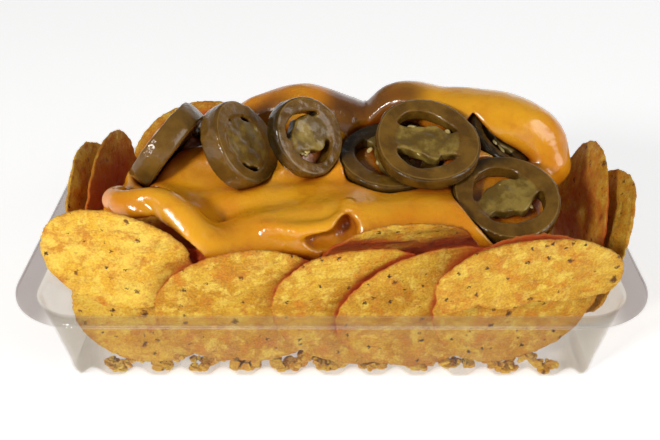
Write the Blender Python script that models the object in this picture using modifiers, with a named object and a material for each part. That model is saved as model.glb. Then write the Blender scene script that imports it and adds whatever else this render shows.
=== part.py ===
"""Nachos in their tray: round tortilla chips stood round the rim of a clear ribbed tray, a heap of
chips inside them, thick cheese sauce poured over the heap, and pickled pepper rings laid on the sauce.

Metres, +Z up. The origin is the middle of the tray's footprint, on the surface it stands on.
X runs along the tray and -Y is its front. Lengths below are in millimetres and are turned into
metres where a mesh is made.
"""

import math

import bmesh
import bpy
from mathutils import Euler, Matrix, Vector

MM = 0.001
GAP = 0.3  # between pieces that touch

# ---------------------------------------------------------------- driving dimensions: the tray
TRAY_LENGTH = 203.0
TRAY_DEPTH = 124.0
TRAY_HEIGHT = 30.0
SHEET = 0.5  # the plastic's thickness
RIM_FRONT = 4.8  # width of the flat rim along the front and back
RIM_END = 7.7  # and along the two ends
RIM_CORNER = 24.0
WALL_TAPER = 7.2  # how far the wall leans out between the floor and the rim
FOOT_CORNER = 7.7
LIP = 1.2  # the rim's outer edge turns down by this much
RIB_PITCH = 14.2  # channels across the floor, running from front to back
RIB_COUNT = 11
RIB_HEIGHT = 3.4
CHANNEL_FLAT = 3.6  # width of each channel's flat underside

# ---------------------------------------------------------------- driving dimensions: the food
CHIP_THICKNESS = 1.8
CHIP_SIDES = 20
SLICE_SIDES = 24
HEAP_HALF = (73.0, 33.0)
HEAP_BASE = 4.6
HEAP_TOP = 50.0
SAUCE_VOXEL = 1.6
SAUCE_TRIANGLES = 1700

# Chips that stand in the tray. Each is given by its middle, the way it faces (0 is the front, 90 the
# right end), how far its top leans out, its two diameters, how far its outline is turned in its own
# plane, and how far its top and bottom edges curl out from its middle.
# name: ((x, y, z), facing, lean, (across, up), turned, curl)
CHIPS = {
    "chip_front_1": ((-54.5, -46.0, 27.4), 6, 4, (56, 46.2), 0, 1.5),
    "chip_front_2": ((-26.3, -50.2, 28.75), 7, 7.5, (56.6, 48.6), 0, 1.5),
    "chip_front_3": ((11, -49.2, 28.3), 7, 7.5, (61, 47.8), 0, 1.5),
    "chip_front_4": ((31.3, -49.3, 28.1), 8, 7.5, (63, 45.4), 18, 1.5),
    "chip_front_5": ((58.5, -48.1, 30.7), 12, 6.5, (55, 52.2), 8, 1.5),
    "chip_corner_left": ((-64.8, -52.9, 48.2), 6, 2, (45.8, 34.0), -24, 2.0),
    "chip_second_left": ((-57, -38.8, 30.6), 5, 8, (50, 53), 0, 1.0),
    "chip_second_middle": ((21.4, -37.8, 36.5), 8, 27, (57, 50), 4, 1.5),
    "chip_second_right": ((58.2, -39.5, 27.4), 9, 12, (50.0, 48.0), 6, 1.0),
    "chip_left_outer": ((-84.8, 2.0, 31.0), -97, 4, (54, 54), 0, 0.7),
    "chip_left_inner": ((-78.8, 6.0, 31.8), -98, -1, (57, 56), 0, 1.0),
    "chip_right_inner": ((86.8, -1.5, 31.5), 91, 11, (58, 56), 0, 1.0),
    "chip_right_outer": ((91.5, -14.5, 32.0), 88, 14.5, (53, 50), 0, 1.5),
    "chip_back_1": ((-50.4, 46.6, 29.8), 187, 12, (57, 51), 0, 1.5),
    "chip_back_2": ((-18, 48.0, 29.4), 188, 12, (57, 51), 0, 1.5),
    "chip_back_3": ((14, 48.0, 28.8), 187, 12, (59, 51), 0, 1.5),
    "chip_back_4": ((45, 48.5, 28.8), 187, 12, (58, 51), 0, 1.5),
    "chip_back_5": ((66, 38.5, 28.4), 165, 8, (54, 49), 0, 1.0),
}
# The broken chip leans on the front row with its snapped edge down on the rim.
BROKEN_CHIP = ((60, -55.7, 41.5), 13, 8, (62, 34), -3, 1.5)
BREAK_AT = -0.48  # the snapped edge, as a share of the chip's half height below its middle

# Pepper rings: the middle, where the upper face points, diameter, thickness, and the angle in its own
# plane at which the pale core crosses the ring.
# name: ((x, y, z), direction, diameter, thickness, core angle)
SLICES = {
    "pepper_1": ((-54.5, -12.0, 66.2), (-0.78, 0.22, 0.58), 30.0, 8.0, 90),
    "pepper_2": ((-30.0, -16.5, 68.3), (0.74, -0.36, 0.57), 28.0, 8.0, 60),
    "pepper_3": ((-8.5, -15.5, 71.0), (0.60, -0.62, 0.50), 26.5, 6.0, 100),
    "pepper_4": ((31.0, -14.5, 68.2), (0.04, -0.40, 0.92), 35.0, 4.8, 75),
    "pepper_5": ((20.0, -10.5, 61.3), (0.00, -0.24, 0.97), 35.0, 4.5, 20),
    "pepper_6": ((57.0, 0.5, 63.6), (0.50, -0.35, 0.79), 25.0, 4.5, 0),
    "pepper_7": ((56.0, -28.6, 55.1), (0.02, -0.41, 0.91), 34.0, 5.2, 120),
    "pepper_8": ((-59.2, -30.3, 52.9), (-0.10, -0.45, 0.89), 16.0, 3.0, 0),
    "pepper_9": ((-35.0, 10.5, 62.5), (0.05, 0.15, 0.98), 28.0, 4.0, 30),
}

# The sauce, as ribbons poured along the heap: points of each ribbon's middle with its radius there.
SAUCE_RIBBONS = (
    # the low ribbon along the front
    (
        (-67, -23, 48, 8), (-56, -25, 48.5, 9), (-46, -32, 46, 10), (-37, -41, 42, 10), (-22, -38, 44, 11),
        (-6, -36, 46, 11), (10, -34, 47, 11), (27, -34, 47.5, 11), (43, -34, 46.5, 11), (62, -34, 42, 9),
    ),
    # its lip, which hangs over the chips at the left
    (
        (-69, -31, 56, 4), (-61, -36, 59.5, 3.8), (-53, -38, 59.5, 4.5), (-47, -41.5, 55, 6), (-42, -44, 50, 7),
        (-36, -43, 44, 8),
    ),
    # the shallow valley behind it
    ((-58, -23, 45, 9), (-35, -24, 46, 10), (-5, -24, 48, 10), (30, -24, 48, 10), (62, -24, 44, 9)),
    # the slope up to the ridge
    (
        (-60, -12, 50, 10), (-40, -10, 54, 11), (-20, -9, 56, 11), (0, -9, 58, 11), (20, -9, 57, 10),
        (45, -12, 54, 11), (66, -14, 49, 9),
    ),
    # the ridge along the top, with its two swells and the lobe that ends it
    (
        (-54, 8, 55, 10), (-38, 12, 57, 9.5), (-24, 12, 64, 9.5), (-10, 12, 67.5, 10.5), (3, 12, 64, 10),
        (14, 12, 60.5, 10), (25, 12, 68, 10.5), (38, 10, 67, 10), (50, 8, 66, 11), (62, 6, 65, 11),
        (70, 4, 60, 10.5), (74, -1, 54, 8.5),
    ),
    # the back slope
    ((-56, 26, 45, 9), (-30, 29, 50, 10.5), (0, 30, 52, 11), (30, 29, 52, 11), (60, 25, 47, 10)),
)


# ---------------------------------------------------------------- helpers
def clear_scene():
    for item in list(bpy.data.objects):
        bpy.data.objects.remove(item, do_unlink=True)


def new_collection(name, hidden=False):
    collection = bpy.data.collections.new(name)
    bpy.context.scene.collection.children.link(collection)
    collection.hide_render = hidden
    return collection


def make_material(name, colour, roughness, metallic=0.0, transmission=0.0, alpha=1.0):
    material = bpy.data.materials.new(name)
    material.use_nodes = True
    shader = material.node_tree.nodes["Principled BSDF"]
    shader.inputs["Base Color"].default_value = (*colour, 1.0)
    shader.inputs["Roughness"].default_value = roughness
    shader.inputs["Metallic"].default_value = metallic
    shader.inputs["Transmission Weight"].default_value = transmission
    shader.inputs["Alpha"].default_value = alpha
    return material


def new_object(name, mesh, collection, material=None):
    made = bpy.data.objects.new(name, mesh)
    collection.objects.link(made)
    if material:
        mesh.materials.clear()
        mesh.materials.append(material)
    return made


def mesh_from(name, bm):
    mesh = bpy.data.meshes.new(name)
    bm.to_mesh(mesh)
    bm.free()
    return mesh


def evaluated_mesh(source, name):
    """The object's mesh with its modifiers applied, in world space."""
    bpy.context.view_layer.update()
    graph = bpy.context.evaluated_depsgraph_get()
    mesh = bpy.data.meshes.new_from_object(source.evaluated_get(graph))
    mesh.name = name
    mesh.transform(source.matrix_world)
    return mesh


def keep_largest_body(mesh):
    """Removes the loose crumbs that a cut leaves beside the main body."""
    bm = bmesh.new()
    bm.from_mesh(mesh)
    left = set(bm.verts)
    bodies = []
    while left:
        found, edge_of_search = set(), [left.pop()]
        while edge_of_search:
            vert = edge_of_search.pop()
            found.add(vert)
            for edge in vert.link_edges:
                other = edge.other_vert(vert)
                if other in left:
                    left.discard(other)
                    edge_of_search.append(other)
        bodies.append(found)
    bodies.sort(key=len)
    loose = [vert for body in bodies[:-1] for vert in body]
    bmesh.ops.delete(bm, geom=loose, context="VERTS")
    bm.to_mesh(mesh)
    bm.free()


def cut_by(target, cutters):
    """Takes the cutters out of the target and leaves it as one plain mesh."""
    for cutter in cutters:
        cut = target.modifiers.new("cut_" + cutter.name, "BOOLEAN")
        cut.operation = "DIFFERENCE"
        cut.solver = "EXACT"
        cut.object = cutter
    mesh = evaluated_mesh(target, target.name)
    keep_largest_body(mesh)
    target.modifiers.clear()
    old = target.data
    target.data = mesh
    target.matrix_world = Matrix.Identity(4)
    bpy.data.meshes.remove(old)


# ---------------------------------------------------------------- the tray
def floor_height(x):
    """Height of the floor's underside: flat channels with a rounded rib between each two."""
    reach = RIB_PITCH * (RIB_COUNT + 1) / 2
    if abs(x) >= reach:
        return 0.0
    from_channel = abs(x - RIB_PITCH * round(x / RIB_PITCH))
    share = (from_channel - CHANNEL_FLAT / 2) / (RIB_PITCH / 2 - CHANNEL_FLAT / 2)
    return RIB_HEIGHT * 0.5 * (1 - math.cos(math.pi * max(0.0, min(1.0, share))))


def front_stations():
    """The foot's front side from left to right: (x, y, outward x, outward y), with both corners' arcs."""
    half_x = TRAY_LENGTH / 2 - RIM_END - WALL_TAPER
    half_y = TRAY_DEPTH / 2 - RIM_FRONT - WALL_TAPER
    corner_steps = 3
    points = []
    for step in range(corner_steps + 1):
        angle = math.radians(180 + 90 * step / corner_steps)
        nx, ny = math.cos(angle), math.sin(angle)
        x = FOOT_CORNER - half_x + FOOT_CORNER * nx
        y = FOOT_CORNER - half_y + FOOT_CORNER * ny
        points.append((x, y, nx, ny))
    rib_xs = []
    for channel in range(RIB_COUNT):
        middle = RIB_PITCH * (channel - (RIB_COUNT - 1) / 2)
        rib_xs += [middle - CHANNEL_FLAT / 2, middle + CHANNEL_FLAT / 2, middle + RIB_PITCH / 2]
    points += [(x, -half_y, 0.0, -1.0) for x in [-RIB_PITCH * RIB_COUNT / 2, *rib_xs]]
    points += [(-x, y, -nx, ny) for x, y, nx, ny in reversed(points[: corner_steps + 1])]
    return points


def rim_edge(x, y, nx, ny):
    """The rim's outer edge beyond the foot's point: the two outlines' corners match by their angle."""
    foot_straight_x = TRAY_LENGTH / 2 - RIM_END - WALL_TAPER - FOOT_CORNER
    foot_straight_y = TRAY_DEPTH / 2 - RIM_FRONT - WALL_TAPER - FOOT_CORNER
    rim_straight_x = TRAY_LENGTH / 2 - RIM_CORNER
    rim_straight_y = TRAY_DEPTH / 2 - RIM_CORNER
    base_x = (x - FOOT_CORNER * nx) * rim_straight_x / foot_straight_x
    base_y = (y - FOOT_CORNER * ny) * rim_straight_y / foot_straight_y
    return base_x + RIM_CORNER * nx, base_y + RIM_CORNER * ny


def build_tray(collection, material):
    """One sheet from the ribbed floor up the wall and out over the rim, then given its thickness."""
    front = front_stations()
    back = [(x, -y, nx, -ny) for x, y, nx, ny in reversed(front)]
    outline = front + back
    # (height above the floor line, share of the ribs left, distance out from the foot)
    profile = (
        (0.0, 1.0, -1.6),
        (0.7, 0.9, -0.1),
        (3.4, 0.3, 0.7),
        (TRAY_HEIGHT - 1.2, 0.0, WALL_TAPER - 0.5),
        (TRAY_HEIGHT - 0.1, 0.0, WALL_TAPER + 0.5),
    )
    bm = bmesh.new()
    rings = []
    for height, ribs, out in profile:
        rings.append(
            [
                bm.verts.new(
                    Vector((x + nx * out, y + ny * out, height + ribs * floor_height(x))) * MM
                )
                for x, y, nx, ny in outline
            ]
        )
    edges = [rim_edge(*point) for point in outline]
    rings.append([bm.verts.new(Vector((x, y, TRAY_HEIGHT)) * MM) for x, y in edges])
    rings.append([bm.verts.new(Vector((x, y, TRAY_HEIGHT - LIP)) * MM) for x, y in edges])
    count = len(outline)
    for lower, upper in zip(rings, rings[1:]):
        for i in range(count):
            j = (i + 1) % count
            bm.faces.new((lower[i], lower[j], upper[j], upper[i]))
    # the floor, in strips from the front edge to the back edge
    half = len(front)
    for i in range(half - 1):
        bm.faces.new((rings[0][i + 1], rings[0][i], rings[0][count - 1 - i], rings[0][count - 2 - i]))
    tray = new_object("tray", mesh_from("tray", bm), collection, material)
    thickness = tray.modifiers.new("sheet", "SOLIDIFY")
    thickness.thickness = SHEET * MM
    thickness.offset = -1.0
    thickness.use_even_offset = True
    return tray


# ---------------------------------------------------------------- the chips
def outline_share(angle, phase):
    """A chip's edge as a share of its radius: never quite round."""
    return 1 + 0.022 * math.sin(2 * angle + phase) + 0.014 * math.sin(3 * angle + 2.3 * phase)


def chip_sheet(name, size, turned, curl, phase, grow=0.0, break_at=None):
    """A chip's middle surface in its own frame: x across, y up, curling along +Z at top and bottom."""
    bm = bmesh.new()
    bmesh.ops.create_circle(bm, cap_ends=True, segments=CHIP_SIDES, radius=1.0)
    bmesh.ops.inset_region(bm, faces=list(bm.faces), thickness=0.42)
    middle = min(bm.faces, key=lambda face: face.calc_center_median().length - len(face.verts))
    bmesh.ops.poke(bm, faces=[middle])
    across, up = size[0] / 2, size[1] / 2
    spin = Matrix.Rotation(math.radians(turned), 2)
    for vert in bm.verts:
        x, y = vert.co.x, vert.co.y
        share = outline_share(math.atan2(y, x), phase)
        if break_at is not None:
            top = math.sqrt(max(0.0, 1 - x * x))
            bottom = max(-top, break_at + 0.05 * math.sin(9 * x))
            rise = 0.5 if top < 1e-6 else (y + top) / (2 * top)
            y = bottom + (top - bottom) * rise
        flat = Vector((x * (across * share + grow), y * (up * share + grow)))
        flat.rotate(spin)
        lift = curl * y * y + 0.5 * math.sin(2.2 * x + phase) * (y + 0.4 * x)
        vert.co = Vector((flat.x, flat.y, lift)) * MM
    return mesh_from(name, bm)


def place_chip(name, placing, phase, collection, material=None, grow=0.0, break_at=None):
    middle, facing, lean, size, turned, curl = placing
    mesh = chip_sheet(name, size, turned, curl, phase, grow, break_at)
    chip = new_object(name, mesh, collection, material)
    chip.location = Vector(middle) * MM
    chip.rotation_euler = (math.radians(90 + lean), 0.0, math.radians(facing))
    thickness = chip.modifiers.new("thickness", "SOLIDIFY")
    thickness.thickness = (CHIP_THICKNESS + 2 * grow) * MM
    thickness.offset = 0.0
    return chip


def build_chips(collection, cutters, material):
    """Every chip, and beside it a slightly larger copy that cuts the sauce and the heap."""
    placings = [(name, placing, None) for name, placing in CHIPS.items()]
    placings.append(("chip_broken", BROKEN_CHIP, BREAK_AT))
    made = []
    for number, (name, placing, break_at) in enumerate(placings):
        phase = 1.7 * number
        place_chip(name, placing, phase, collection, material, break_at=break_at)
        made.append(place_chip("cutter_" + name, placing, phase, cutters, grow=GAP, break_at=break_at))
    return made


# ---------------------------------------------------------------- the pepper rings
def slice_rotation(direction, core_angle):
    facing = Vector(direction).normalized().to_track_quat("Z", "Y")
    return facing @ Euler((0, 0, math.radians(core_angle))).to_quaternion()


def ring_outlines(radius):
    """The ring's outer edge and the two seed chambers, one on each side of the core."""
    outer = []
    for step in range(SLICE_SIDES):
        angle = 2 * math.pi * step / SLICE_SIDES
        uneven = 1 + 0.03 * math.sin(2 * angle + 0.6) + 0.02 * math.sin(3 * angle)
        outer.append((radius * uneven * math.cos(angle), radius * uneven * math.sin(angle)))
    chambers = []
    for side in (1, -1):
        chamber = []
        for step in range(6):
            angle = math.radians(-62 + 124 * step / 5)
            chamber.append((side * 0.66 * radius * math.cos(angle), 0.62 * radius * math.sin(angle)))
        for share in (0.35, -0.35):
            chamber.append((side * 0.20 * radius, share * radius))
        chambers.append(chamber)
    return [outer, *chambers]


def build_slice(name, placing, collection, material):
    middle, direction, diameter, thickness, core_angle = placing
    outline = bpy.data.curves.new(name + "_outline", "CURVE")
    outline.dimensions = "2D"
    outline.fill_mode = "BOTH"
    outline.extrude = thickness / 2 * MM
    for points in ring_outlines(diameter / 2):
        spline = outline.splines.new("POLY")
        spline.points.add(len(points) - 1)
        for point, (x, y) in zip(spline.points, points):
            point.co = (x * MM, y * MM, 0.0, 1.0)
        spline.use_cyclic_u = True
    flat = new_object(name + "_flat", outline, collection)
    mesh = evaluated_mesh(flat, name)
    bpy.data.objects.remove(flat)
    bm = bmesh.new()
    bm.from_mesh(mesh)
    bmesh.ops.remove_doubles(bm, verts=bm.verts, dist=0.00001)
    bmesh.ops.recalc_face_normals(bm, faces=bm.faces)
    bm.to_mesh(mesh)
    bm.free()
    ring = new_object(name, mesh, collection, material)
    ring.location = Vector(middle) * MM
    ring.rotation_mode = "QUATERNION"
    ring.rotation_quaternion = slice_rotation(direction, core_angle)
    return ring


def slice_cutter(name, placing, collection):
    middle, direction, diameter, thickness, core_angle = placing
    bm = bmesh.new()
    bmesh.ops.create_cone(
        bm,
        cap_ends=True,
        segments=SLICE_SIDES,
        radius1=(diameter * 0.525 + GAP) * MM,
        radius2=(diameter * 0.525 + GAP) * MM,
        depth=(thickness + 2 * GAP) * MM,
    )
    cutter = new_object("cutter_" + name, mesh_from("cutter_" + name, bm), collection)
    cutter.location = Vector(middle) * MM
    cutter.rotation_mode = "QUATERNION"
    cutter.rotation_quaternion = slice_rotation(direction, core_angle)
    return cutter


# ---------------------------------------------------------------- the heap and the sauce
def along_ribbon(points, spacing):
    """Points about one spacing apart on a smooth curve through the ribbon's own points."""
    ends = [points[0], *points, points[-1]]
    for a, b, c, d in zip(ends, ends[1:], ends[2:], ends[3:]):
        steps = max(1, round(math.dist(b[:3], c[:3]) / spacing))
        for step in range(steps):
            t = step / steps
            yield tuple(
                0.5 * (2 * q + (r - p) * t + (2 * p - 5 * q + 4 * r - s) * t**2 + (3 * q - p - 3 * r + s) * t**3)
                for p, q, r, s in zip(a, b, c, d)
            )
    yield points[-1]


def build_sauce(collection, material):
    """Balls strung along the ribbons, fused into one smooth body."""
    bm = bmesh.new()
    for ribbon in SAUCE_RIBBONS:
        for x, y, z, radius in along_ribbon(ribbon, 4.0):
            place = Matrix.Translation(Vector((x, y, z)) * MM)
            bmesh.ops.create_icosphere(bm, subdivisions=2, radius=radius * MM, matrix=place)
    sauce = new_object("cheese_sauce", mesh_from("cheese_sauce", bm), collection, material)
    fused = sauce.modifiers.new("fused", "REMESH")
    fused.mode = "VOXEL"
    fused.voxel_size = SAUCE_VOXEL * MM
    smooth = sauce.modifiers.new("smooth", "SMOOTH")
    smooth.factor = 0.5
    smooth.iterations = 10
    bpy.context.view_layer.update()
    graph = bpy.context.evaluated_depsgraph_get()
    dense = sum(len(face.vertices) - 2 for face in sauce.evaluated_get(graph).data.polygons)
    thin = sauce.modifiers.new("thin", "DECIMATE")
    thin.ratio = SAUCE_TRIANGLES / dense
    return sauce


def build_sauce_cutter(sauce, collection):
    """The sauce grown by the gap along its normals."""
    cutter = new_object("cutter_sauce", sauce.data.copy(), collection)
    grown = cutter.modifiers.new("grown", "DISPLACE")
    grown.strength = 1.5 * GAP * MM
    grown.mid_level = 0.0
    return cutter


def build_heap(collection, material):
    """The chips under the sauce as one body: a rounded block, higher in the middle, with an uneven top."""
    bm = bmesh.new()
    bmesh.ops.create_cube(bm, size=2.0)
    bmesh.ops.subdivide_edges(bm, edges=bm.edges, cuts=7, use_grid_fill=True)
    for vert in bm.verts:
        x, y, z = vert.co
        corner = 1 - 0.16 * (x * x) * (y * y)
        crown = 1 - 0.22 * x * x - 0.30 * y * y
        bumps = 2.0 * math.sin(5.1 * x + 1.3 * y) * math.cos(3.7 * y - 0.9 * x)
        height = HEAP_BASE + (HEAP_TOP * crown + bumps - HEAP_BASE) * (z + 1) / 2
        waist = 1 - 0.10 * (1 - z) / 2
        vert.co = Vector((HEAP_HALF[0] * x * corner * waist, HEAP_HALF[1] * y * corner * waist, height)) * MM
    return new_object("chip_heap", mesh_from("chip_heap", bm), collection, material)


def build():
    clear_scene()
    nachos = new_collection("nachos")
    cutters = new_collection("cutters", hidden=True)
    plastic = make_material("clear_plastic", (0.75, 0.76, 0.78), 0.08, transmission=0.9, alpha=0.4)
    tortilla = make_material("tortilla", (0.80, 0.50, 0.10), 0.75)
    cheese = make_material("cheese_sauce", (0.85, 0.38, 0.03), 0.22)
    pepper = make_material("pickled_pepper", (0.17, 0.15, 0.03), 0.25)

    build_tray(nachos, plastic)
    chip_cutters = build_chips(nachos, cutters, tortilla)
    slice_cutters = []
    for name, placing in SLICES.items():
        build_slice(name, placing, nachos, pepper)
        slice_cutters.append(slice_cutter(name, placing, cutters))

    sauce = build_sauce(nachos, cheese)
    cut_by(sauce, chip_cutters + slice_cutters)
    heap = build_heap(nachos, tortilla)
    sauce_cutter = build_sauce_cutter(sauce, cutters)
    cut_by(heap, [*chip_cutters, *slice_cutters, sauce_cutter])

    for cutter in cutters.objects:
        cutter.hide_render = True
        cutter.display_type = "WIRE"
    for piece in nachos.objects:
        piece.data.shade_smooth()
        piece.data.set_sharp_from_angle(angle=math.radians(35))


build()
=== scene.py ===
"""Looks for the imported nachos: fried chips, poured cheese sauce, pickled pepper rings and the clear tray.

Every shape is worked out in millimetres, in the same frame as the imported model, and turned into
metres where its mesh is made. X runs along the tray, -Y is its front and +Z is up.
"""

from math import cos, dist, pi, radians, sin, sqrt

import bmesh
import bpy
import numpy as np
import openvdb
from mathutils import Euler, Matrix, Vector
from mathutils.bvhtree import BVHTree


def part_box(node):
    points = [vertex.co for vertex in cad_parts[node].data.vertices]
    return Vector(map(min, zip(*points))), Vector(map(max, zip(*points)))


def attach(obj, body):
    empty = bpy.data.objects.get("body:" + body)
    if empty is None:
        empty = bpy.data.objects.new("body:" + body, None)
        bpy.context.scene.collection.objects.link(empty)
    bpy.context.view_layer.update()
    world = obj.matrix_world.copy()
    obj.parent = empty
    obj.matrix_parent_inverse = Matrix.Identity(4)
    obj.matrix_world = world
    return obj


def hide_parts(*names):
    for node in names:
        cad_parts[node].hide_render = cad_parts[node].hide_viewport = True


MM = 0.001
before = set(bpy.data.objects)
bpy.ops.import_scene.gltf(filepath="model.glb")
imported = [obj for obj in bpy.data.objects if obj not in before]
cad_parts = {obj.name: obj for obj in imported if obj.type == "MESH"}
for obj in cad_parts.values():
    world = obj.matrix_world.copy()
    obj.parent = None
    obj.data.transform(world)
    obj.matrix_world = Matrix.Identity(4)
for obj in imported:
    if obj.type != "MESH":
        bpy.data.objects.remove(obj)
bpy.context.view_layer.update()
scene = bpy.context.scene

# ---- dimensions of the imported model
TRAY_LENGTH, TRAY_DEPTH, SHEET = 203.0, 124.0, 0.5
RIM_FRONT, RIM_END, RIM_CORNER = 4.8, 7.7, 24.0
WALL_TAPER, FOOT_CORNER = 7.2, 7.7
RIB_PITCH, RIB_COUNT, RIB_HEIGHT, CHANNEL_FLAT = 14.2, 11, 3.4, 3.6
CHIP_THICKNESS = 1.8
PHASE_STEP = 1.7  # how far the waves in the outline move on from one chip to the next

# Chips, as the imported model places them: middle, the way it faces, how far its top leans out, its two
# diameters, how far its outline is turned, and how far its top and bottom curl out.
CHIPS = {
    "chip_front_1": ((-54.5, -46.0, 27.4), 6, 4, (56, 46.2), 0, 1.5),
    "chip_front_2": ((-26.3, -50.2, 28.75), 7, 7.5, (56.6, 48.6), 0, 1.5),
    "chip_front_3": ((11, -49.2, 28.3), 7, 7.5, (61, 47.8), 0, 1.5),
    "chip_front_4": ((31.3, -49.3, 28.1), 8, 7.5, (63, 45.4), 18, 1.5),
    "chip_front_5": ((58.5, -48.1, 30.7), 12, 6.5, (55, 52.2), 8, 1.5),
    "chip_corner_left": ((-64.8, -52.9, 48.2), 6, 2, (45.8, 34.0), -24, 2.0),
    "chip_second_left": ((-57, -38.8, 30.6), 5, 8, (50, 53), 0, 1.0),
    "chip_second_middle": ((21.4, -37.8, 36.5), 8, 27, (57, 50), 4, 1.5),
    "chip_second_right": ((58.2, -39.5, 27.4), 9, 12, (50.0, 48.0), 6, 1.0),
    "chip_left_outer": ((-84.8, 2.0, 31.0), -97, 4, (54, 54), 0, 0.7),
    "chip_left_inner": ((-78.8, 6.0, 31.8), -98, -1, (57, 56), 0, 1.0),
    "chip_right_inner": ((86.8, -1.5, 31.5), 91, 11, (58, 56), 0, 1.0),
    "chip_right_outer": ((91.5, -14.5, 32.0), 88, 14.5, (53, 50), 0, 1.5),
    "chip_back_1": ((-50.4, 46.6, 29.8), 187, 12, (57, 51), 0, 1.5),
    "chip_back_2": ((-18, 48.0, 29.4), 188, 12, (57, 51), 0, 1.5),
    "chip_back_3": ((14, 48.0, 28.8), 187, 12, (59, 51), 0, 1.5),
    "chip_back_4": ((45, 48.5, 28.8), 187, 12, (58, 51), 0, 1.5),
    "chip_back_5": ((66, 38.5, 28.4), 165, 8, (54, 49), 0, 1.0),
}
BROKEN_CHIP = ((60, -55.7, 41.5), 13, 8, (62, 34), -3, 1.5)
BREAK_AT = -0.48

# Pepper rings: middle, where the upper face points, diameter, thickness, and the core's angle.
SLICES = {
    "pepper_1": ((-54.5, -12.0, 66.2), (-0.78, 0.22, 0.58), 30.0, 8.0, 90),
    "pepper_2": ((-30.0, -16.5, 68.3), (0.74, -0.36, 0.57), 28.0, 8.0, 60),
    "pepper_3": ((-8.5, -15.5, 71.0), (0.60, -0.62, 0.50), 26.5, 6.0, 100),
    "pepper_4": ((31.0, -14.5, 68.2), (0.04, -0.40, 0.92), 35.0, 4.8, 75),
    "pepper_5": ((20.0, -10.5, 61.3), (0.00, -0.24, 0.97), 35.0, 4.5, 20),
    "pepper_6": ((57.0, 0.5, 63.6), (0.50, -0.35, 0.79), 25.0, 4.5, 0),
    "pepper_7": ((56.0, -28.6, 55.1), (0.02, -0.41, 0.91), 34.0, 5.2, 120),
    "pepper_8": ((-59.2, -30.3, 52.9), (-0.10, -0.45, 0.89), 16.0, 3.0, 0),
    "pepper_9": ((-35.0, 10.5, 62.5), (0.05, 0.15, 0.98), 28.0, 4.0, 30),
}

# The sauce, as ribbons poured along the heap: each ribbon's middle and its radius there.
SAUCE_RIBBONS = (
    # the low ribbon along the front
    (
        (-67, -23, 48, 8), (-56, -25, 48.5, 9), (-46, -32, 46, 10), (-37, -41, 42, 10),
        (-22, -38, 44, 11), (-6, -36, 46, 11), (10, -34, 47, 11), (27, -34, 47.5, 11),
        (43, -34, 46.5, 11), (62, -34, 42, 9),
    ),
    # its lip, which hangs over the chips at the left
    (
        (-69, -31, 56, 4), (-61, -36, 59.5, 3.8), (-53, -38, 59.5, 4.5), (-47, -41.5, 55, 6),
        (-42, -44, 50, 7), (-36, -43, 44, 8),
    ),
    # the shallow valley behind it
    ((-58, -23, 45, 9), (-35, -24, 46, 10), (-5, -24, 48, 10), (30, -24, 48, 10), (62, -24, 44, 9)),
    # the slope up to the ridge
    (
        (-60, -12, 50, 10), (-40, -10, 54, 11), (-20, -9, 56, 11), (0, -9, 58, 11), (20, -9, 57, 10),
        (45, -12, 54, 11), (66, -14, 49, 9),
    ),
    # the ridge along the top, with its two swells and the lobe that ends it
    (
        (-54, 8, 55, 10), (-38, 12, 57, 9.5), (-24, 12, 64, 9.5), (-10, 12, 67.5, 10.5), (3, 12, 64, 10),
        (14, 12, 60.5, 10), (25, 12, 68, 10.5), (38, 10, 67, 10), (50, 8, 66, 11), (62, 6, 65, 11),
        (70, 4, 60, 10.5), (74, -1, 54, 8.5),
    ),
    # the back slope
    ((-56, 26, 45, 9), (-30, 29, 50, 10.5), (0, 30, 52, 11), (30, 29, 52, 11), (60, 25, 47, 10)),
)

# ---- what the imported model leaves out
CHIP_CELLS, LOOSE_CHIP_CELLS = 76, 34  # mesh cells across a chip
SAUCE_PITCH, PEPPER_PITCH = 0.6, 0.36  # spacing of the grids that the sauce and the rings are cut from
SKIN, FLESH, CORE = 0.0, 1.0, 2.0  # the parts of a pepper ring

# Narrow folds and runs on the ribbons, given as the ribbons are.
FOLDS = (
    # the lip over the left end, and the fold along the front
    ((-67.5, -29, 55.5, 4.5), (-65.5, -35, 57.5, 4.6), (-61, -38.5, 57.2, 4.2), (-57, -40.5, 57, 3.0)),
    ((-20, -43, 52, 2.5), (-4, -44, 53, 3.0), (2, -42, 55, 2.5), (5, -36, 57, 2.0)),
    # runs down the back
    ((-44, 12, 58, 7), (-47, 20, 54, 7.5), (-50, 29, 49, 6.5), (-51, 37, 44, 4.5)),
    ((-20, 15, 63, 7), (-22, 23, 58, 7.5), (-26, 32, 52, 6.5), (-27, 39, 47, 4)),
    ((-4, 16, 66, 6), (0, 24, 59, 7), (4, 31, 54, 6)),
    ((24, 16, 66, 6.5), (22, 24, 60, 7.5), (20, 33, 53, 7), (20, 40, 48, 4.5)),
    ((46, 13, 65, 7), (48, 21, 58, 8), (46, 29, 51, 7), (45, 37, 46, 4.5)),
    ((66, 8, 57, 6), (66, 17, 51, 7), (64, 25, 46, 6)),
)
SUNK_SLICES = ("pepper_6", "pepper_8", "pepper_9")  # rings that the sauce may lie over
BARE_SLICE = "pepper_8"  # of this one it leaves the back part bare
# Hollows in the sauce's front: middle, and how far each reaches along the three axes.
HOLLOWS = (
    ((4.5, -43.5, 52.5), (3.4, 6.0, 4.2)), ((-1.5, -45.5, 50.0), (6.5, 4.0, 3.2)),
    ((-40.0, -20.5, 61.5), (7.0, 3.0, 2.5)), ((-59.0, -28.0, 62.0), (7.5, 7.0, 4.0)),
)
# How pale a chip is, from 0 to 1: most of them, and the others, some fried less and some made paler as
# painted light where they lie in shade.
PALE = 0.15
PALER_CHIPS = {
    "chip_corner_left": 1.0, "chip_left_outer": 1.0, "chip_front_1": 0.7, "chip_broken": 0.3,
    "chip_right_inner": 0.3,
}
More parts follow.
